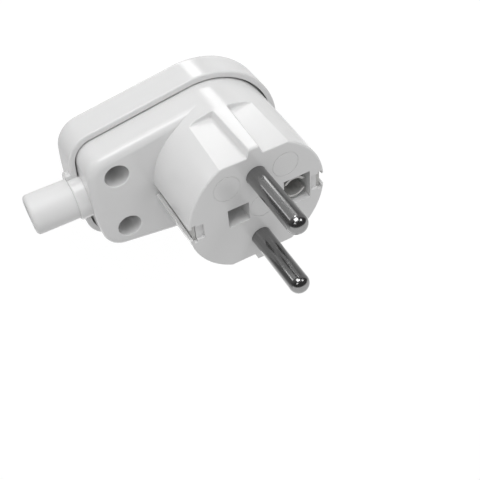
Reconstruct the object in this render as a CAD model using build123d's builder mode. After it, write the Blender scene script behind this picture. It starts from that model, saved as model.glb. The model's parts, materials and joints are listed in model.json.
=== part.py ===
from build123d import *
import math
import os

os.makedirs("parts", exist_ok=True)

# Angled rewirable mains plug. The back of the cover lies on Z = 0 and the pins point up, +Z.
# The origin is on the nose's axis, X runs towards the cord entry and Y from pin to pin.
# All lengths are in millimetres and all angles in degrees.

# Heights above the back of the cover
rim_height = 8.8           # where the two shells part, also the height of the cord's axis
flange_height = 16.5       # flat shoulder beside the nose
face_height = 34.6         # front face of the nose

# Outline of the housing, seen along the pins
nose_radius = 17.25        # nose at its face
draft = 1.1                # mould draft of the nose and of the base's sides
end_reach = 32.5           # nose axis to the cord end wall
end_bow = 70.0             # gentle radius of the cord end wall
side_taper = 8.8           # each side leans in by this towards the cord end
corner_radius = 5.2        # corners of the cord end
flange_edge_radius = 2.0   # rounded edge of the shoulder
nose_edge_radius = 0.5     # rounded edge of the face

# Walls of the base
base_wall = 1.8
flange_wall = 2.0
face_wall = 2.4
nose_wall_side = 3.8       # beside the earth channels
nose_wall_flat = 2.2       # behind the two flats
skirt_depth = 3.0          # the base reaches this far down inside the cover

# Cover
cover_wall = 1.4
cover_floor = 2.0
cover_ledge = 1.2          # width of the ledge that the base's skirt stands on
shell_gap = 0.45           # dark line round the base at the cover's rim
end_gap = 0.35             # the same at the cord end
cover_back_radius = 1.5
cover_rim_radius = 0.4

# Flats and ridges of the nose
flat_inset = 2.15          # each flat lies this far inside the nose's surface at the face
flat_draft = 2.2           # the flats lean out towards their far end
flat_fillet = 0.5          # rounded foot of the ridge and of the flat's end wall
flat_above_shoulder = 2.4  # the flats end this far above the shoulder
ridge_foot_front = 1.9     # half width of the ridge where it stands on the flat, at the face
ridge_foot_back = 2.3      # the same at the far end of the flat
ridge_top_front = 1.2      # half width of the ridge's crest
ridge_top_back = 1.6
ridge_edge_radius = 0.25   # rounded edges of the crest

# Earth channels down the two sides of the nose
channel_mouth = 3.5        # width of the mouth in the nose's surface
channel_lip = 0.75         # thickness of the lips that hold the strip in
notch_width = 4.2          # shallow notch in the face beside each channel
notch_depth = 0.8
notch_length = 2.8         # from the lips inwards

# Windows in the face
socket_inset = 7.25        # nose's surface to the earth socket, on the standard 10 mm
socket_window_length = 6.8
socket_window_width = 8.0
plain_window_x = 5.0
plain_window_size = 5.3
window_guard_wall = 1.0
window_guard_depth = 8.0   # guard walls reach this far below the face

# Ejector marks on the face
mark_radius = 3.3
mark_line = 0.2            # each mark is a faint round groove
mark_depth = 0.06
mark_x = 7.2               # the two marks beside the line pin
mark_y = -9.1
mark_middle_x = -1.0       # the one between the windows

# Contact pins
pin_inset = 7.75           # nose's surface to each pin's axis, on the standard 19 mm pitch
pin_radius = 2.4
pin_reach = 19.0
pin_tip_radius = 2.2
pin_neck_radius = 2.1      # neck inside the face
pin_neck_length = 1.0
pin_clearance = 0.03
pin_boss_wall = 1.7
pin_block_size = 6.4
pin_block_length = 8.1
pin_block_corner = 0.6
pin_boss_bottom = 20.6     # height of the seat of the pin's block
wire_hole_radius = 1.6
wire_hole_below_seat = 4.0

# Earth bracket, socket and rivet
strip_thickness = 0.8
strip_width = 5.0
strip_clearance = 0.1
strip_bend = 0.5           # bend radius along the middle of the strip
strip_below_face = 0.9     # the strip's ends stop short of the face
socket_bore_radius = 2.4
socket_thickness = 0.6
socket_corner_radius = 0.9  # inside corner of the drawn cup, clear of the rivet's head
socket_below_face = 1.2
socket_slit = 2.8
socket_leaf = 7.0          # length of the two leaves
rivet_radius = 1.0
rivet_head_radius = 1.5
rivet_head_height = 0.6

# Cord sleeve and its collars
sleeve_radius = 4.85
sleeve_bore_radius = 3.6
sleeve_length = 10.5       # from the collar out
sleeve_end_radius = 1.0
sleeve_clearance = 0.05
sleeve_flange_radius = 5.6
sleeve_flange_thickness = 1.5
sleeve_flange_gap = 0.1    # play between the flange and the bowed end wall
collar_length = 2.7        # from the base's end wall out
base_collar_radius = 5.5
base_collar_edge = 0.45
cover_collar_radius = 6.5
cover_collar_edge = 0.6

# Cover screws and their nuts
cover_screw_inset = 7.1    # end wall to the screws
cover_screw_y = 7.9
screw_well_radius = 2.875
screw_boss_wall = 1.125
screw_well_edge = 0.25     # rounded mouth of each well
screw_seat_height = 8.2    # the head stands on this level, deep in the well
screw_seat_wall = 1.6      # plastic under the head
cover_screw_head_radius = 2.7
cover_screw_head_height = 1.9
cover_screw_radius = 1.5
cover_screw_length = 6.0
screw_clearance = 0.1
screw_tip_room = 0.4       # hole goes on past the screw's tip
nut_size = 5.5
nut_thickness = 1.8
nut_shelf = 1.0            # plastic over the nut
nut_clearance = 0.1

# Cord clamp
clamp_inset = 14.3         # end wall to the clamp
clamp_y = 7.5
clamp_pillar_radius = 2.8
clamp_pillar_bottom = 6.6
clamp_bar_width = 4.6
clamp_bar_length = 21.0
clamp_bar_thickness = 2.0
clamp_tooth_height = 0.8
clamp_tooth_width = 1.0
clamp_screw_head_radius = 2.5
clamp_screw_head_height = 1.6
clamp_screw_length = 6.5

# Terminal screws
terminal_head_radius = 2.2
terminal_head_height = 1.6
terminal_screw_radius = 1.6
terminal_screw_length = 3.2
earth_head_radius = 2.9
earth_head_height = 1.8
earth_screw_radius = 1.75
earth_screw_length = 5.0
washer_size = 6.4
washer_thickness = 1.0
slot_width = 0.7
slot_depth = 0.8

# Ribs of the cover behind the pins and the bracket
rib_thickness = 1.0
rib_length = 4.0
rib_spacing = 5.9          # between the two ribs behind one pin
bracket_rib_gap = 0.3      # the bracket's rib stands this far from the rivet's head

# Sizes that follow from the ones above
slope = math.tan(math.radians(draft))
base_radius = nose_radius + (face_height - rim_height) * slope
flat_offset = nose_radius - flat_inset
socket_x = socket_inset - nose_radius
pin_pitch = 2 * (nose_radius - pin_inset)
collar_reach = end_reach + collar_length
sleeve_reach = collar_reach + sleeve_length
cover_screw_x = end_reach - cover_screw_inset
clamp_x = end_reach - clamp_inset
skirt_bottom = rim_height - skirt_depth
flange_inside = flange_height - flange_wall
face_inside = face_height - face_wall
flat_bottom = flange_height + flat_above_shoulder
flat_length = face_height - flat_bottom
pin_boss_radius = pin_radius + pin_boss_wall
pin_block_bottom = pin_boss_bottom - pin_block_length
channel_outside = nose_radius - channel_lip
strip_outside = channel_outside - strip_clearance
channel_inside = strip_outside - strip_thickness - strip_clearance
web_bottom = flange_inside - strip_thickness
socket_top = face_height - socket_below_face
socket_outer_radius = socket_bore_radius + socket_thickness
end_inside = end_reach - base_wall
end_sag = end_bow - math.sqrt(end_bow**2 - sleeve_flange_radius**2)
sleeve_flange_front = end_inside - end_sag - sleeve_flange_gap
sleeve_hole_radius = sleeve_radius + sleeve_clearance
screw_boss_radius = screw_well_radius + screw_boss_wall
screw_boss_bottom = screw_seat_height - screw_seat_wall
nut_pocket_top = screw_boss_bottom - nut_shelf
nut_pocket_bottom = nut_pocket_top - nut_thickness - nut_clearance
strip_top = face_height - strip_below_face
bracket_rib_x = socket_x - rivet_head_radius - bracket_rib_gap - rib_thickness / 2


def housing_outline(height, grow=0.0, end_grow=None):
    """Pear-shaped outline: a round end, two tapering sides and a bowed end with its own growth."""
    radius = base_radius + grow
    reach = end_reach + (grow if end_grow is None else end_grow)
    bow = end_bow + grow
    taper = math.radians(side_taper)
    tangent = Vector(radius * math.sin(taper), radius * math.cos(taper))
    along = Vector(math.cos(taper), -math.sin(taper))
    from_centre = tangent - Vector(reach - bow, 0)
    middle = from_centre.dot(along)
    run = math.sqrt(middle**2 - from_centre.dot(from_centre) + bow**2) - middle
    corner = tangent + along * run
    with BuildSketch(Plane.XY.offset(height)) as outline:
        with BuildLine():
            ThreePointArc(tangent, (-radius, 0), (tangent.X, -tangent.Y))
            Line((tangent.X, -tangent.Y), (corner.X, -corner.Y))
            ThreePointArc((corner.X, -corner.Y), (reach, 0), corner)
            Line(corner, tangent)
        make_face()
        fillet(outline.vertices().group_by(Axis.X)[-1], max(corner_radius + grow, 0.5))
    return outline.sketch


def make_screw(label, seat, radius, length, head_radius, head_height, crossed):
    """Screw whose head stands on the seat plane and whose shank runs along the plane's normal."""
    with BuildPart() as screw:
        with BuildSketch(seat):
            Circle(radius)
        extrude(amount=length)
        chamfer(screw.faces().sort_by(Axis(seat.origin, seat.z_dir))[-1].edges(), radius * 0.3)
        with BuildSketch(seat):
            Circle(head_radius)
        extrude(amount=-head_height)
        head_face = screw.faces().sort_by(Axis(seat.origin, seat.z_dir))[0]
        fillet(head_face.edges(), min(0.4, head_height * 0.3))
        with BuildSketch(seat.offset(-head_height)):
            if crossed:
                Rectangle(head_radius * 1.2, slot_width)
                Rectangle(slot_width, head_radius * 1.2)
            else:
                Rectangle(head_radius * 2.4, slot_width)
        extrude(amount=slot_depth, mode=Mode.SUBTRACT)
    screw.part.label = label
    return screw.part


def make_pin(label, y):
    """Solid round pin with a square terminal block behind it, and a cross hole for the wire."""
    with BuildPart() as pin:
        with BuildSketch(Plane.XY.offset(pin_block_bottom)):
            with Locations((0, y)):
                RectangleRounded(pin_block_size, pin_block_size, pin_block_corner)
        extrude(amount=pin_block_length)
        with BuildSketch(Plane.XY.offset(pin_boss_bottom)):
            with Locations((0, y)):
                Circle(pin_radius)
        extrude(amount=face_height + pin_reach - pin_boss_bottom)
        fillet(pin.faces().sort_by(Axis.Z)[-1].edges(), pin_tip_radius)
        with BuildSketch(Plane.XY.offset(face_height - pin_neck_length)):
            with Locations((0, y)):
                Circle(pin_radius + pin_clearance)
                Circle(pin_neck_radius, mode=Mode.SUBTRACT)
        extrude(amount=pin_neck_length, mode=Mode.SUBTRACT)
        with BuildSketch(Plane.YZ):
            with Locations((y, pin_boss_bottom - wire_hole_below_seat)):
                Circle(wire_hole_radius)
        extrude(amount=pin_block_size, both=True, mode=Mode.SUBTRACT)
        with BuildSketch(Plane.XY.offset(pin_block_bottom)):
            with Locations((0, y)):
                Circle(terminal_screw_radius + pin_clearance)
        extrude(amount=pin_block_length - wire_hole_below_seat, mode=Mode.SUBTRACT)
    pin.part.label = label
    return pin.part


# Tool that cuts one side of a flat, beside its ridge, with a rounded foot all along
with BuildPart() as flat_cutter:
    flat_rise = flat_length * math.tan(math.radians(flat_draft))
    cut_outside = base_radius + flat_inset
    for height, flat, foot, top in (
        (flat_bottom, flat_offset + flat_rise, ridge_foot_back, ridge_top_back),
        (face_height, flat_offset, ridge_foot_front, ridge_top_front),
    ):
        slant = (foot - top) / flat_inset
        with BuildSketch(Plane.XY.offset(height)):
            with BuildLine():
                Polyline(
                    (foot, -flat),
                    (nose_radius, -flat),
                    (nose_radius, -cut_outside),
                    (foot - slant * (cut_outside - flat), -cut_outside),
                    close=True,
                )
            make_face()
    loft()
    foot_corner = flat_cutter.vertices().group_by(Axis.Z)[0].sort_by_distance(
        (ridge_foot_back, -flat_offset - flat_rise, flat_bottom)
    )[0]
    fillet(flat_cutter.edges().filter_by(lambda e: foot_corner in e.vertices()), flat_fillet)

# Base: the nose and the shoulder in one moulding
with BuildPart() as base_housing:
    extrude(housing_outline(rim_height), amount=flange_height - rim_height, taper=draft)
    fillet(base_housing.faces().sort_by(Axis.Z)[-1].edges(), flange_edge_radius)
    with BuildSketch(Plane.XY.offset(rim_height)):
        Circle(base_radius)
    extrude(amount=face_height - rim_height, taper=draft)
    fillet(base_housing.faces().sort_by(Axis.Z)[-1].edges(), nose_edge_radius)
    extrude(housing_outline(skirt_bottom), amount=skirt_depth)
    for cutter in (flat_cutter.part, mirror(flat_cutter.part, about=Plane.YZ, mode=Mode.PRIVATE)):
        add(cutter, mode=Mode.SUBTRACT)
        add(mirror(cutter, about=Plane.XZ, mode=Mode.PRIVATE), mode=Mode.SUBTRACT)

    crests = base_housing.edges().filter_by(
        lambda e: e.length > flat_length / 2
        and abs(e.center().X) < ridge_foot_back
        and abs(e.center().Y) > flat_offset + flat_rise
        and e.center().Z > flat_bottom
    )
    fillet(crests, ridge_edge_radius)

    # hollow inside
    extrude(
        housing_outline(skirt_bottom, -base_wall),
        amount=flange_inside - skirt_bottom,
        mode=Mode.SUBTRACT,
    )
    with BuildSketch(Plane.XY.offset(flange_inside)):
        Circle(nose_radius - nose_wall_flat)
        Rectangle(
            2 * (nose_radius - nose_wall_side),
            2 * (flat_offset - nose_wall_flat),
            mode=Mode.INTERSECT,
        )
    extrude(amount=face_inside - flange_inside, mode=Mode.SUBTRACT)

    # bosses that the pins stand in
    with BuildSketch(Plane.XY.offset(pin_boss_bottom)):
        with GridLocations(0, pin_pitch, 1, 2):
            Circle(pin_boss_radius)
    extrude(amount=face_inside - pin_boss_bottom + 0.01)
    with BuildSketch(Plane.XY.offset(pin_boss_bottom)):
        with GridLocations(0, pin_pitch, 1, 2):
            Circle(pin_radius + pin_clearance)
    extrude(amount=face_height - pin_boss_bottom, mode=Mode.SUBTRACT)

    # windows in the face with their guard walls
    with BuildSketch(Plane.XY.offset(face_height - window_guard_depth)):
        with Locations((socket_x, 0)):
            Rectangle(
                socket_window_length + 2 * window_guard_wall,
                socket_window_width + 2 * window_guard_wall,
            )
        with Locations((plain_window_x, 0)):
            Rectangle(
                plain_window_size + 2 * window_guard_wall,
                plain_window_size + 2 * window_guard_wall,
            )
    extrude(amount=window_guard_depth - face_wall + 0.01)
    with BuildSketch(Plane.XY.offset(face_height - window_guard_depth)):
        with Locations((socket_x, 0)):
            Rectangle(socket_window_length, socket_window_width)
        with Locations((plain_window_x, 0)):
            Rectangle(plain_window_size, plain_window_size)
    extrude(amount=window_guard_depth, mode=Mode.SUBTRACT)

    # earth channels: a mouth between two lips, a wider slot behind them, a notch in the face
    with BuildSketch(Plane.XY.offset(web_bottom - strip_clearance)):
        for side in (-1, 1):
            with Locations((side * (channel_inside + channel_outside) / 2, 0)):
                Rectangle(channel_outside - channel_inside, strip_width + 2 * strip_clearance)
    extrude(amount=face_height - web_bottom + strip_clearance, mode=Mode.SUBTRACT)
    with BuildSketch(Plane.XY.offset(flange_height)):
        for side in (-1, 1):
            with Locations((side * (channel_outside + base_radius) / 2, 0)):
                Rectangle(base_radius - channel_outside + 2 * strip_clearance, channel_mouth)
    extrude(amount=face_height - flange_height, mode=Mode.SUBTRACT)
    with BuildSketch(Plane.XY.offset(face_height - notch_depth)):
        for side in (-1, 1):
            with Locations((side * (channel_outside - notch_length / 2), 0)):
                Rectangle(notch_length, notch_width)
    extrude(amount=notch_depth, mode=Mode.SUBTRACT)

    # ejector marks
    with BuildSketch(Plane.XY.offset(face_height - mark_depth)):
        with Locations((mark_x, mark_y), (-mark_x, mark_y), (mark_middle_x, 0)):
            Circle(mark_radius)
            Circle(mark_radius - mark_line, mode=Mode.SUBTRACT)
    extrude(amount=mark_depth, mode=Mode.SUBTRACT)

    # screw bosses: a deep well for the head, a plain hole below it
    with BuildSketch(Plane.XY.offset(screw_boss_bottom)):
        with Locations((cover_screw_x, -cover_screw_y), (cover_screw_x, cover_screw_y)):
            Circle(screw_boss_radius)
    extrude(amount=flange_inside - screw_boss_bottom + 0.01)
    with Locations(
        (cover_screw_x, -cover_screw_y, flange_height),
        (cover_screw_x, cover_screw_y, flange_height),
    ):
        CounterBoreHole(
            radius=cover_screw_radius + screw_clearance,
            counter_bore_radius=screw_well_radius,
            counter_bore_depth=flange_height - screw_seat_height,
            depth=flange_height - screw_boss_bottom,
        )
    well_mouths = base_housing.edges().filter_by(GeomType.CIRCLE).filter_by(
        lambda e: abs(e.radius - screw_well_radius) < 0.001
        and abs(e.center().Z - flange_height) < 0.001
    )
    fillet(well_mouths, screw_well_edge)

    # pillars of the cord clamp
    with BuildSketch(Plane.XY.offset(clamp_pillar_bottom)):
        with Locations((clamp_x, -clamp_y), (clamp_x, clamp_y)):
            Circle(clamp_pillar_radius)
    extrude(amount=flange_inside - clamp_pillar_bottom + 0.01)
    with BuildSketch(Plane.XY.offset(clamp_pillar_bottom)):
        with Locations((clamp_x, -clamp_y), (clamp_x, clamp_y)):
            Circle(cover_screw_radius + pin_clearance)
    extrude(
        amount=clamp_screw_length - clamp_bar_thickness + screw_tip_room,
        mode=Mode.SUBTRACT,
    )

    # upper half of the collar round the sleeve
    with BuildSketch(Plane.YZ.offset(end_inside)):
        with Locations((0, rim_height)):
            Circle(base_collar_radius)
            Rectangle(
                2 * base_collar_radius,
                base_collar_radius,
                align=(Align.CENTER, Align.MAX),
                mode=Mode.SUBTRACT,
            )
    extrude(amount=collar_reach - end_inside)
    fillet(
        base_housing.faces().sort_by(Axis.X)[-1].edges().sort_by(Axis.Z)[-1],
        base_collar_edge,
    )
    with BuildSketch(Plane.YZ.offset(end_inside - base_wall)):
        with Locations((0, rim_height)):
            Circle(sleeve_hole_radius)
    extrude(amount=collar_reach - end_inside + 2 * base_wall, mode=Mode.SUBTRACT)
    with BuildSketch(Plane.XY.offset(skirt_bottom)):
        with Locations((end_reach, 0)):
            Rectangle(4 * base_wall, 2 * sleeve_hole_radius)
    extrude(amount=skirt_depth, mode=Mode.SUBTRACT)
base_housing.part.label = "base_housing"
export_step(base_housing.part, "parts/base_housing.step")

# Cover: a shallow tray that takes the base's skirt
with BuildPart() as housing_cover:
    extrude(
        housing_outline(0, shell_gap + cover_wall, end_gap + cover_wall),
        amount=rim_height,
    )
    fillet(housing_cover.faces().sort_by(Axis.Z)[0].edges(), cover_back_radius)
    fillet(housing_cover.faces().sort_by(Axis.Z)[-1].edges(), cover_rim_radius)
    with BuildSketch(Plane.YZ.offset(end_reach + end_gap)):
        with Locations((0, rim_height)):
            Circle(cover_collar_radius)
            Rectangle(
                2 * cover_collar_radius,
                cover_collar_radius,
                align=(Align.CENTER, Align.MIN),
                mode=Mode.SUBTRACT,
            )
    extrude(amount=collar_reach - end_reach - end_gap)
    fillet(
        housing_cover.faces().sort_by(Axis.X)[-1].edges().sort_by(Axis.Z)[0],
        cover_collar_edge,
    )
    extrude(
        housing_outline(skirt_bottom, shell_gap, end_gap),
        amount=skirt_depth,
        mode=Mode.SUBTRACT,
    )
    extrude(
        housing_outline(cover_floor, -cover_ledge),
        amount=rim_height - cover_floor,
        mode=Mode.SUBTRACT,
    )
    with BuildSketch(Plane.YZ.offset(end_inside - base_wall)):
        with Locations((0, rim_height)):
            Circle(sleeve_hole_radius)
    extrude(amount=collar_reach - end_inside + 2 * base_wall, mode=Mode.SUBTRACT)

    # pillars with a pocket for each nut, open towards the nose
    with BuildSketch(Plane.XY.offset(cover_floor)):
        with Locations((cover_screw_x, -cover_screw_y), (cover_screw_x, cover_screw_y)):
            Circle(screw_boss_radius)
    extrude(amount=screw_boss_bottom - cover_floor)
    with BuildSketch(Plane.XY.offset(nut_pocket_bottom)):
        with Locations((cover_screw_x, -cover_screw_y), (cover_screw_x, cover_screw_y)):
            with Locations((nut_size / 2 + nut_clearance, 0)):
                Rectangle(
                    nut_size + 2 * screw_boss_radius,
                    nut_size + 2 * nut_clearance,
                    align=(Align.MAX, Align.CENTER),
                )
    extrude(amount=nut_pocket_top - nut_pocket_bottom, mode=Mode.SUBTRACT)
    with Locations(
        (cover_screw_x, -cover_screw_y, screw_boss_bottom),
        (cover_screw_x, cover_screw_y, screw_boss_bottom),
    ):
        Hole(
            radius=cover_screw_radius + screw_clearance,
            depth=cover_screw_length - screw_seat_wall + screw_tip_room,
        )

    # ribs behind the pins and behind the bracket
    with BuildSketch(Plane.XY.offset(cover_floor)):
        with GridLocations(rib_spacing, pin_pitch, 2, 2):
            Rectangle(rib_thickness, rib_length)
    extrude(amount=pin_block_bottom - cover_floor)
    with BuildSketch(Plane.XY.offset(cover_floor)):
        with Locations((bracket_rib_x, 0)):
            Rectangle(rib_thickness, rib_length)
    extrude(amount=web_bottom - cover_floor)
housing_cover.part.label = "housing_cover"
export_step(housing_cover.part, "parts/housing_cover.step")

# Soft sleeve that the cord comes out of, held by its flange behind the end wall
with BuildPart() as cord_sleeve:
    with BuildSketch(Plane.YZ.offset(sleeve_flange_front - sleeve_flange_thickness)):
        with Locations((0, rim_height)):
            Circle(sleeve_flange_radius)
    extrude(amount=sleeve_flange_thickness)
    with BuildSketch(Plane.YZ.offset(sleeve_flange_front)):
        with Locations((0, rim_height)):
            Circle(sleeve_radius)
    extrude(amount=sleeve_reach - sleeve_flange_front)
    fillet(cord_sleeve.faces().sort_by(Axis.X)[-1].edges(), sleeve_end_radius)
    with BuildSketch(Plane.YZ.offset(sleeve_flange_front - sleeve_flange_thickness)):
        with Locations((0, rim_height)):
            Circle(sleeve_bore_radius)
    extrude(amount=sleeve_reach, mode=Mode.SUBTRACT)
cord_sleeve.part.label = "cord_sleeve"
export_step(cord_sleeve.part, "parts/cord_sleeve.step")

# Contact pins and their terminal screws
for name, y in (("line", -pin_pitch / 2), ("neutral", pin_pitch / 2)):
    export_step(make_pin(f"{name}_pin", y), f"parts/{name}_pin.step")
    export_step(
        make_screw(
            f"{name}_terminal_screw",
            Plane((0, y, pin_block_bottom)),
            terminal_screw_radius,
            terminal_screw_length,
            terminal_head_radius,
            terminal_head_height,
            crossed=False,
        ),
        f"parts/{name}_terminal_screw.step",
    )

# Earth bracket: one strip bent into a U, with an arm in each channel of the nose
with BuildPart() as earth_bracket:
    arm_middle = strip_outside - strip_thickness / 2
    with BuildSketch(Plane.XZ):
        with BuildLine():
            FilletPolyline(
                (-arm_middle, strip_top),
                (-arm_middle, web_bottom + strip_thickness / 2),
                (arm_middle, web_bottom + strip_thickness / 2),
                (arm_middle, strip_top),
                radius=strip_bend,
            )
        trace(line_width=strip_thickness)
    extrude(amount=strip_width / 2, both=True)
    with BuildSketch(Plane.XY.offset(web_bottom)):
        with Locations((socket_x, 0)):
            Circle(rivet_radius + pin_clearance)
        with Locations((plain_window_x, 0)):
            Circle(earth_screw_radius + pin_clearance)
    extrude(amount=strip_thickness, mode=Mode.SUBTRACT)
earth_bracket.part.label = "earth_bracket"
export_step(earth_bracket.part, "parts/earth_bracket.step")

# Earth socket: a cup riveted to the bracket, slit into two springy halves
with BuildPart() as earth_socket:
    with BuildSketch(Plane.XY.offset(flange_inside)):
        with Locations((socket_x, 0)):
            Circle(socket_outer_radius)
    extrude(amount=socket_top - flange_inside)
    fillet(
        earth_socket.faces().sort_by(Axis.Z)[0].edges(),
        socket_corner_radius + socket_thickness,
    )
    with BuildSketch(Plane.XY.offset(flange_inside + socket_thickness)):
        with Locations((socket_x, 0)):
            Circle(socket_bore_radius)
    extrude(amount=socket_top - flange_inside, mode=Mode.SUBTRACT)
    cup_floor = earth_socket.faces().filter_by(Axis.Z).sort_by(Axis.Z)[1]
    fillet(cup_floor.edges(), socket_corner_radius)
    with BuildSketch(Plane.XY.offset(flange_inside)):
        with Locations((socket_x, 0)):
            Circle(rivet_radius + pin_clearance)
    extrude(amount=socket_thickness, mode=Mode.SUBTRACT)
    with BuildSketch(Plane.XY.offset(socket_top - socket_leaf)):
        with Locations((socket_x, 0)):
            Rectangle(3 * socket_outer_radius, socket_slit)
    extrude(amount=socket_top, mode=Mode.SUBTRACT)
earth_socket.part.label = "earth_socket"
export_step(earth_socket.part, "parts/earth_socket.step")

# Rivet through the bracket and the socket's floor
with BuildPart() as earth_rivet:
    with BuildSketch(Plane.XY.offset(web_bottom - rivet_head_height)):
        with Locations((socket_x, 0)):
            Circle(rivet_head_radius)
    extrude(amount=rivet_head_height)
    with BuildSketch(Plane.XY.offset(web_bottom)):
        with Locations((socket_x, 0)):
            Circle(rivet_radius)
    extrude(amount=strip_thickness + socket_thickness)
    with BuildSketch(Plane.XY.offset(flange_inside + socket_thickness)):
        with Locations((socket_x, 0)):
            Circle(rivet_head_radius)
    extrude(amount=rivet_head_height)
    fillet(earth_rivet.faces().sort_by(Axis.Z)[0].edges(), rivet_head_height * 0.6)
    fillet(earth_rivet.faces().sort_by(Axis.Z)[-1].edges(), rivet_head_height * 0.6)
earth_rivet.part.label = "earth_rivet"
export_step(earth_rivet.part, "parts/earth_rivet.step")

# Square washer and screw that hold the earth wire
with BuildPart() as earth_washer:
    with BuildSketch(Plane.XY.offset(web_bottom - washer_thickness)):
        with Locations((plain_window_x, 0)):
            RectangleRounded(washer_size, washer_size, washer_thickness / 2)
            Circle(earth_screw_radius + screw_clearance, mode=Mode.SUBTRACT)
    extrude(amount=washer_thickness)
earth_washer.part.label = "earth_washer"
export_step(earth_washer.part, "parts/earth_washer.step")
export_step(
    make_screw(
        "earth_terminal_screw",
        Plane((plain_window_x, 0, web_bottom - washer_thickness)),
        earth_screw_radius,
        earth_screw_length,
        earth_head_radius,
        earth_head_height,
        crossed=False,
    ),
    "parts/earth_terminal_screw.step",
)

# Cord clamp: a bar with a tooth across its middle, screwed to its two pillars
with BuildPart() as cord_clamp_bar:
    with BuildSketch(Plane.XY.offset(clamp_pillar_bottom - clamp_bar_thickness)):
        with Locations((clamp_x, 0)):
            SlotOverall(clamp_bar_length, clamp_bar_width, rotation=90)
    extrude(amount=clamp_bar_thickness)
    with BuildSketch(Plane.XY.offset(clamp_pillar_bottom)):
        with Locations((clamp_x, 0)):
            Rectangle(clamp_tooth_width, 2 * (clamp_y - clamp_pillar_radius) - 1)
    extrude(amount=clamp_tooth_height)
    with Locations(
        (clamp_x, -clamp_y, clamp_pillar_bottom),
        (clamp_x, clamp_y, clamp_pillar_bottom),
    ):
        Hole(radius=cover_screw_radius + screw_clearance, depth=clamp_bar_thickness)
cord_clamp_bar.part.label = "cord_clamp_bar"
export_step(cord_clamp_bar.part, "parts/cord_clamp_bar.step")

# Screws and nuts that come in pairs, one on each side
for number, side in ((1, -1), (2, 1)):
    export_step(
        make_screw(
            f"cord_clamp_screw_{number}",
            Plane((clamp_x, side * clamp_y, clamp_pillar_bottom - clamp_bar_thickness)),
            cover_screw_radius,
            clamp_screw_length,
            clamp_screw_head_radius,
            clamp_screw_head_height,
            crossed=False,
        ),
        f"parts/cord_clamp_screw_{number}.step",
    )
    export_step(
        make_screw(
            f"cover_screw_{number}",
            Plane((cover_screw_x, side * cover_screw_y, screw_seat_height), z_dir=(0, 0, -1)),
            cover_screw_radius,
            cover_screw_length,
            cover_screw_head_radius,
            cover_screw_head_height,
            crossed=True,
        ),
        f"parts/cover_screw_{number}.step",
    )
    with BuildPart() as cover_nut:
        with BuildSketch(Plane.XY.offset(nut_pocket_bottom + nut_clearance)):
            with Locations((cover_screw_x, side * cover_screw_y)):
                RectangleRounded(nut_size, nut_size, nut_thickness / 4)
                Circle(cover_screw_radius + pin_clearance, mode=Mode.SUBTRACT)
        extrude(amount=nut_thickness)
    cover_nut.part.label = f"cover_nut_{number}"
    export_step(cover_nut.part, f"parts/cover_nut_{number}.step")
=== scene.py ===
import json
import math
import bpy
from mathutils import Matrix, Vector

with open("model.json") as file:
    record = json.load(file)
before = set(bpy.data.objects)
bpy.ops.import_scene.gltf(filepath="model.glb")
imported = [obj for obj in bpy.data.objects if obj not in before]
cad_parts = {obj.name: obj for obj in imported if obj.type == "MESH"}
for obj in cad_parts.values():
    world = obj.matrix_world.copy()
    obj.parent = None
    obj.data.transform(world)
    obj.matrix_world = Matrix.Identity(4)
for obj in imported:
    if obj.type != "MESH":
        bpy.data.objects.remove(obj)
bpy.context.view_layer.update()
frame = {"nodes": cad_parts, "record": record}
scene = bpy.context.scene
scene.view_settings.view_transform = "Standard"

# Depths and sizes of the marks on the surfaces, in millimetres
cloud_mm = 9.0
wave_mm = 12.0
wave_depth_mm = 0.4
grain_depth_mm = 0.04
drawn_depth_mm = 0.03
edge_mm = 0.1
wave_bump = 0.06
mm = 0.001


def linear(hex_colour):
    """sRGB hex to the linear colour that shaders take."""
    channels = [int(hex_colour[i:i + 2], 16) / 255 for i in (1, 3, 5)]
    lin = [c / 12.92 if c <= 0.04045 else ((c + 0.055) / 1.055) ** 2.4 for c in channels]
    return (*lin, 1.0)


def add_node(tree, kind, links=(), **settings):
    """One shader node: attributes and socket values by name, then its incoming links."""
    node = tree.nodes.new(kind)
    for name, value in settings.items():
        socket = name.replace("_", " ")
        if socket in node.inputs:
            node.inputs[socket].default_value = value
        else:
            setattr(node, name, value)
    for source, socket in links:
        tree.links.new(source, node.inputs[socket])
    return node


def new_material(name):
    """An empty material and its node tree."""
    material = bpy.data.materials.new(name)
    material.use_nodes = True
    material.node_tree.nodes.clear()
    return material, material.node_tree


def tinted(tree, amount, colour, shade):
    """Colour that goes from colour to shade with the amount."""
    tint = add_node(tree, "ShaderNodeMix", [(amount, 0)], data_type="RGBA")
    tint.inputs[6].default_value = linear(colour)
    tint.inputs[7].default_value = linear(shade)
    return tint.outputs[2]


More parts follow.
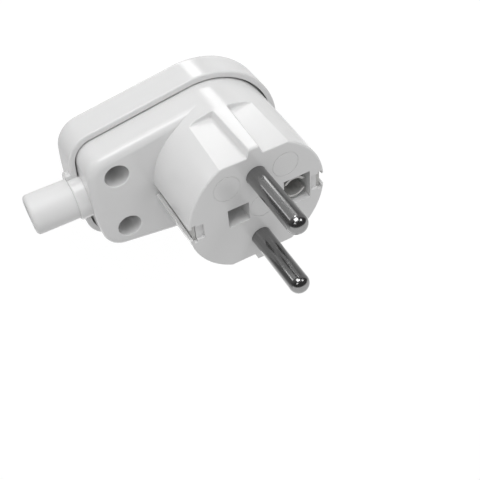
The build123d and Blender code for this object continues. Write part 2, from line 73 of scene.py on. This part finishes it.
def moulded(name, colour, shade, roughness, grain_mm, grain_bump):
    """Moulded plastic: faint flow clouds, slight sink waves, a fine tool grain and soft edges."""
    material, tree = new_material(name)
    where = add_node(tree, "ShaderNodeTexCoord")
    cloud = add_node(
        tree, "ShaderNodeTexNoise", [(where.outputs["Object"], "Vector")],
        Scale=1 / (cloud_mm * mm), Detail=2.0, Roughness=0.5,
    )
    wave = add_node(
        tree, "ShaderNodeTexNoise", [(where.outputs["Object"], "Vector")],
        Scale=1 / (wave_mm * mm), Detail=1.0, Roughness=0.4,
    )
    grain = add_node(
        tree, "ShaderNodeTexNoise", [(where.outputs["Object"], "Vector")],
        Scale=1 / (grain_mm * mm), Detail=2.0, Roughness=0.5,
    )
    edge = add_node(tree, "ShaderNodeBevel", samples=6, Radius=edge_mm * mm)
    waves = add_node(
        tree, "ShaderNodeBump",
        [(wave.outputs["Fac"], "Height"), (edge.outputs["Normal"], "Normal")],
        Strength=wave_bump, Distance=wave_depth_mm * mm,
    )
    height = add_node(
        tree, "ShaderNodeBump",
        [(grain.outputs["Fac"], "Height"), (waves.outputs["Normal"], "Normal")],
        Strength=grain_bump, Distance=grain_depth_mm * mm,
    )
    spread = add_node(
        tree, "ShaderNodeMapRange", [(grain.outputs["Fac"], "Value")],
        To_Min=roughness - 0.03, To_Max=roughness + 0.03,
    )
    shader = add_node(
        tree, "ShaderNodeBsdfPrincipled",
        [
            (tinted(tree, cloud.outputs["Fac"], colour, shade), "Base Color"),
            (spread.outputs["Result"], "Roughness"),
            (height.outputs["Normal"], "Normal"),
        ],
        IOR=1.5,
    )
    add_node(tree, "ShaderNodeOutputMaterial", [(shader.outputs["BSDF"], "Surface")])
    return material


def metal(name, colour, shade, roughness, stretch, grain_mm, bump, metallic):
    """Plated metal with a drawn or rolled grain along the axis that stretch shortens."""
    material, tree = new_material(name)
    where = add_node(tree, "ShaderNodeTexCoord")
    along = add_node(
        tree, "ShaderNodeMapping", [(where.outputs["Object"], "Vector")], Scale=stretch,
    )
    grain = add_node(
        tree, "ShaderNodeTexNoise", [(along.outputs["Vector"], "Vector")],
        Scale=1 / (grain_mm * mm), Detail=3.0, Roughness=0.6,
    )
    spread = add_node(
        tree, "ShaderNodeMapRange", [(grain.outputs["Fac"], "Value")],
        To_Min=roughness - 0.05, To_Max=roughness + 0.08,
    )
    height = add_node(
        tree, "ShaderNodeBump", [(grain.outputs["Fac"], "Height")],
        Strength=bump, Distance=drawn_depth_mm * mm,
    )
    shader = add_node(
        tree, "ShaderNodeBsdfPrincipled",
        [
            (tinted(tree, grain.outputs["Fac"], colour, shade), "Base Color"),
            (spread.outputs["Result"], "Roughness"),
            (height.outputs["Normal"], "Normal"),
        ],
        Metallic=metallic,
    )
    add_node(tree, "ShaderNodeOutputMaterial", [(shader.outputs["BSDF"], "Surface")])
    return material


finishes = {
    # Moulded white thermoplastic: bright and neutral, with soft window-like highlights.
    "white_plastic": moulded("white_abs_moulded", "#E5E5E5", "#E1E1E1", 0.14, 0.3, 0.05),
    # Soft white cable plastic: the same white, with a duller skin.
    "white_rubber": moulded("white_tpe_moulded", "#E6E6E6", "#E2E2E2", 0.42, 0.3, 0.12),
    # Nylon of the cord clamp: plain, a little yellower.
    "clamp_plastic": moulded("natural_nylon_moulded", "#DAD9D2", "#D4D3CB", 0.5, 0.3, 0.12),
    # Dark nickel on turned brass: nearly black where it mirrors nothing, with lengthwise streaks,
    # drawn coarser than real ones so that they show.
    "nickel_pin": metal(
        "dark_nickel_turned", "#9C9C9C", "#848484", 0.16, (1, 1, 0.04), 0.5, 0.06, 1.0,
    ),
    # Dull nickel on brass strip: a matt, slightly tarnished skin.
    "nickel_strip": metal(
        "dull_nickel_rolled", "#C6C6C4", "#B4B4B2", 0.42, (1, 1, 0.15), 0.3, 0.2, 0.3,
    ),
    # Zinc on steel screws, nuts and the rivet.
    "screw_steel": metal(
        "zinc_plated_turned", "#B4B5B4", "#9FA0A0", 0.34, (1, 1, 1), 0.25, 0.25, 1.0,
    ),
}
slot_of = {s["node"]: s["material_slot"] for s in frame["record"]["subparts"]}
for node_name, node_object in frame["nodes"].items():
    node_object.data.materials.clear()
    node_object.data.materials.append(finishes[slot_of[node_name]])

# Camera: the photograph's place, turn and lens
image_px = 480
focal_px = 765.72
camera_data = bpy.data.cameras.new("camera")
camera_data.sensor_fit = "HORIZONTAL"
camera_data.sensor_width = 36.0
camera_data.lens = focal_px / image_px * camera_data.sensor_width
camera_data.clip_start = 0.01
camera_data.clip_end = 20.0
camera = bpy.data.objects.new("camera", camera_data)
scene.collection.objects.link(camera)
right = Vector((-0.8778358, 0.0782646, 0.4725241))
down = Vector((0.3963038, 0.6727192, 0.6248137))
forward = Vector((-0.2689752, 0.735747, -0.6215535))
turn = Matrix((right, -down, -forward)).transposed().to_4x4()
camera.matrix_world = Matrix.Translation((0.0527133, -0.1212565, 0.1436750)) @ turn
scene.camera = camera

# Strengths and distances of the studio
lamp_distance = 0.6
lamp_target = Vector((0.01, 0, 0.02))
floor_size = 6.0
floor_glow = 1.12
floor_share = 0.82
room_strength = 0.49
room_dark = 0.08
room_bright = 1.1
side_blur = 0.16
horizon_blur = 0.06

# Pale and dark cards round the plug, far below its level, which only shiny parts see. The first
# band reaches down from the second. Each other band has the two elevations between which it takes
# over from the one below it, and every band has the strengths at its azimuths.
lowest_band = (
    (-180, 0.9), (-155, 0.9), (-140, 0.3), (-129, 0.25), (-125, 4.2), (-112, 4.2), (-108, 0.45),
    (-60, 0.5), (-50, 0.5), (-30, 0.3), (0, 0.3), (40, 0.4), (80, 0.8), (140, 0.8), (180, 0.9),
)
higher_bands = (
    ((-42, -40), (
        (-180, 0.5), (-135, 0.2), (-125, 0.9), (-112.5, 1.2), (-111, 3.4), (-109, 3.4),
        (-107.5, 0.7), (-60, 0.7), (-43, 0.6), (-41, 3.0), (-37, 3.0), (-34, 0.12), (0, 0.12),
        (20, 0.2), (45, 0.9), (80, 1.35), (110, 1.35), (140, 1.0), (180, 0.5),
    )),
    ((-40, -37.5), (
        (-180, 0.5), (-135, 0.25), (-125, 0.5), (-104, 0.7), (-60, 0.7), (-41, 0.6), (-38, 3.2),
        (-34, 3.2), (-31, 0.2), (0, 0.2), (20, 0.25), (45, 1.0), (80, 1.35), (110, 1.35),
        (140, 1.0), (180, 0.5),
    )),
    ((-31, -29.5), (
        (-180, 0.5), (-106, 0.4), (-102, 8.0), (-88, 8.0), (-84, 0.4), (-30, 0.3), (0, 0.2),
        (30, 0.6), (80, 1.35), (110, 1.35), (140, 1.0), (180, 0.5),
    )),
    ((-26.5, -25), (
        (-180, 0.5), (-90, 0.3), (0, 0.12), (30, 0.9), (80, 1.35), (110, 1.35), (140, 1.0),
        (180, 0.5),
    )),
)


def pick(tree, switch, first, second):
    """The first shader, or the second by as much as the switch says."""
    chosen = add_node(tree, "ShaderNodeMixShader", [(switch, "Fac"), (first, 1), (second, 2)])
    return chosen.outputs["Shader"]


def round_about(tree, where, stops):
    """Strength that changes with the azimuth about the plug, between the stops given."""
    angle = add_node(tree, "ShaderNodeTexGradient", [(where, "Vector")], gradient_type="RADIAL")
    ring = add_node(tree, "ShaderNodeValToRGB", [(angle.outputs["Fac"], "Fac")])
    peak = max(strength for azimuth, strength in stops)
    elements = ring.color_ramp.elements
    for azimuth, strength in stops[1:-1]:
        elements.new(azimuth / 360 + 0.5)
    for element, (azimuth, strength) in zip(elements, stops):
        element.color = (strength / peak, strength / peak, strength / peak, 1.0)
    scaled = add_node(
        tree, "ShaderNodeMath", [(ring.outputs["Color"], 0)], operation="MULTIPLY",
    )
    scaled.inputs[1].default_value = peak
    return scaled.outputs["Value"]


def blended(tree, amount, first, second):
    """Strength that goes from the first to the second with the amount."""
    mix = add_node(
        tree, "ShaderNodeMix", [(amount, 0), (first, 2), (second, 3)], data_type="FLOAT",
    )
    return mix.outputs[0]


# Floor under the cover, pale, with a soft shadow. Shiny parts look through it.
bpy.ops.object.select_all(action="DESELECT")
bpy.ops.mesh.primitive_plane_add(size=floor_size, location=(0, 0, 0))
floor = bpy.context.object
floor.name = "floor"
paper, tree = new_material("white_paper")
rays = add_node(tree, "ShaderNodeLightPath")
matt = add_node(tree, "ShaderNodeBsdfDiffuse", Color=linear("#F4F4F4"))
glow = add_node(tree, "ShaderNodeEmission", Strength=floor_glow)
clear = add_node(tree, "ShaderNodeBsdfTransparent")
share = add_node(
    tree, "ShaderNodeMath", [(rays.outputs["Is Camera Ray"], 0)], operation="MULTIPLY",
)
share.inputs[1].default_value = floor_share
seen = pick(tree, share.outputs["Value"], matt.outputs["BSDF"], glow.outputs["Emission"])
surface = pick(tree, rays.outputs["Is Glossy Ray"], seen, clear.outputs["BSDF"])
add_node(tree, "ShaderNodeOutputMaterial", [(surface, "Surface")])
floor.data.materials.append(paper)

# Studio: an even room, white where the camera sees it. For shiny parts it is bright towards +Y
# and dark towards -Y, with the cards below the horizon.
world = bpy.data.worlds.new("studio")
scene.world = world
world.use_nodes = True
tree = world.node_tree
tree.nodes.clear()
rays = add_node(tree, "ShaderNodeLightPath")
where = add_node(tree, "ShaderNodeTexCoord")
level = add_node(
    tree, "ShaderNodeSeparateXYZ", [(where.outputs["Generated"], "Vector")],
)
fade = add_node(
    tree, "ShaderNodeMapRange", [(level.outputs["Y"], "Value")],
    From_Min=0.0, From_Max=side_blur, To_Min=room_dark, To_Max=room_bright,
)
above = add_node(
    tree, "ShaderNodeMapRange", [(level.outputs["Z"], "Value")],
    From_Min=-horizon_blur, From_Max=horizon_blur,
)
below = round_about(tree, where.outputs["Generated"], lowest_band)
for (start, end), stops in higher_bands:
    band = round_about(tree, where.outputs["Generated"], stops)
    taken = add_node(
        tree, "ShaderNodeMapRange", [(level.outputs["Z"], "Value")],
        From_Min=math.sin(math.radians(start)), From_Max=math.sin(math.radians(end)),
    )
    below = blended(tree, taken.outputs["Result"], below, band)
shown = blended(tree, above.outputs["Result"], below, fade.outputs["Result"])
room = add_node(tree, "ShaderNodeBackground", Color=(1, 1, 1, 1), Strength=room_strength)
mirrored = add_node(
    tree, "ShaderNodeBackground", [(shown, "Strength")], Color=(1, 1, 1, 1),
)
white = add_node(tree, "ShaderNodeBackground", Color=(1, 1, 1, 1), Strength=1.0)
lit = pick(
    tree, rays.outputs["Is Glossy Ray"], room.outputs["Background"],
    mirrored.outputs["Background"],
)
whole = pick(tree, rays.outputs["Is Camera Ray"], lit, white.outputs["Background"])
add_node(tree, "ShaderNodeOutputWorld", [(whole, "Surface")])


def softbox(name, azimuth, elevation, side, power):
    """Square area light that looks at the middle of the plug from azimuth and elevation."""
    az, el = math.radians(azimuth), math.radians(elevation)
    ray = Vector((math.cos(el) * math.cos(az), math.cos(el) * math.sin(az), math.sin(el)))
    data = bpy.data.lights.new(name, "AREA")
    data.shape = "SQUARE"
    data.size = side
    data.energy = power
    lamp = bpy.data.objects.new(name, data)
    lamp.location = lamp_target + ray * lamp_distance
    lamp.rotation_euler = ray.to_track_quat("Z", "Y").to_euler()
    scene.collection.objects.link(lamp)


softbox("key_light", -82, 8, 0.35, 1.9)
softbox("side_light", -125, 29, 0.15, 0.3)
softbox("top_light", -49, 33, 0.12, 0.15)
